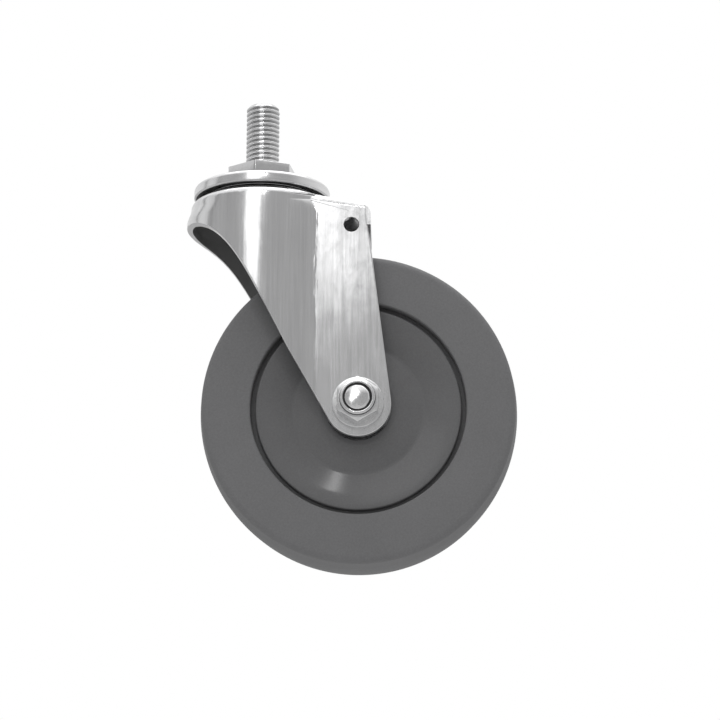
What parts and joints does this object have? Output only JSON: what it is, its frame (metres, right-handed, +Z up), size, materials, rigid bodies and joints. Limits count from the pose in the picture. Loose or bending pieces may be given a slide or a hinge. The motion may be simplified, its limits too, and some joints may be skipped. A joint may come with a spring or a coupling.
{
  "type": "swivel stem castor",
  "caption": "Swivel castor with a threaded stem, a double ball race, a pressed steel fork and a grey rubber wheel.",
  "frame": {"origin": "on the stem's axis at the seat, the top face of the hexagon under the thread", "axes": "+Z up the stem, +X towards the trailing wheel, +Y along the axle towards the bolt's head"},
  "size_m": [0.1343, 0.0653, 0.195],
  "materials": {
    "fork_steel": "polished",
    "stem_steel": "satin",
    "race_steel": "polished",
    "bolt_steel": "satin",
    "insert_nylon": "satin",
    "cage_brass": "satin",
    "hub_plastic": "satin",
    "tyre_rubber": "matte"
  },
  "bodies": {
    "base": {"threaded_stem": "stem_steel", "upper_race_cap": "race_steel", "lower_race_cup": "race_steel"},
    "upper_balls": {"upper_race_balls": "race_steel"},
    "lower_balls": {"lower_race_balls": "race_steel"},
    "fork_body": {"fork": "fork_steel", "axle_bolt": "bolt_steel", "axle_washers": "bolt_steel", "axle_nut": "bolt_steel", "nut_insert": "insert_nylon", "bearing_spacer": "bolt_steel", "side_bushes": "bolt_steel", "inner_ring_near": "race_steel", "inner_ring_far": "race_steel"},
    "wheel": {"wheel_hub": "hub_plastic", "tyre": "tyre_rubber", "outer_ring_near": "race_steel", "outer_ring_far": "race_steel", "shields_near": "race_steel", "shields_far": "race_steel"},
    "near_ball_set": {"bearing_balls_near": "race_steel", "ball_cage_near": "cage_brass"},
    "far_ball_set": {"bearing_balls_far": "race_steel", "ball_cage_far": "cage_brass"}
  },
  "joints": [
    {"name": "swivel", "type": "hinge", "parent": "base", "child": "fork_body", "pos_m": [0, 0, -0.0141], "axis": [0, 0, 1], "continuous": true},
    {"name": "wheel_spin", "type": "hinge", "parent": "fork_body", "child": "wheel", "pos_m": [0.0402, 0, -0.104], "axis": [0, 1, 0], "continuous": true},
    {"name": "upper_race_orbit", "type": "hinge", "parent": "base", "child": "upper_balls", "pos_m": [0, 0, -0.0141], "axis": [0, 0, 1], "continuous": true},
    {"name": "lower_race_orbit", "type": "hinge", "parent": "base", "child": "lower_balls", "pos_m": [0, 0, -0.0184], "axis": [0, 0, 1], "continuous": true},
    {"name": "near_bearing_orbit", "type": "hinge", "parent": "fork_body", "child": "near_ball_set", "pos_m": [0.0402, -0.01, -0.104], "axis": [0, 1, 0], "continuous": true},
    {"name": "far_bearing_orbit", "type": "hinge", "parent": "fork_body", "child": "far_ball_set", "pos_m": [0.0402, 0.01, -0.104], "axis": [0, 1, 0], "continuous": true}
  ],
  "couplings": [
    {"joint": "upper_race_orbit", "follows": "swivel", "ratio": 0.5},
    {"joint": "lower_race_orbit", "follows": "swivel", "ratio": 0.5},
    {"joint": "near_bearing_orbit", "follows": "wheel_spin", "ratio": 0.631},
    {"joint": "far_bearing_orbit", "follows": "wheel_spin", "ratio": 0.631}
  ]
}
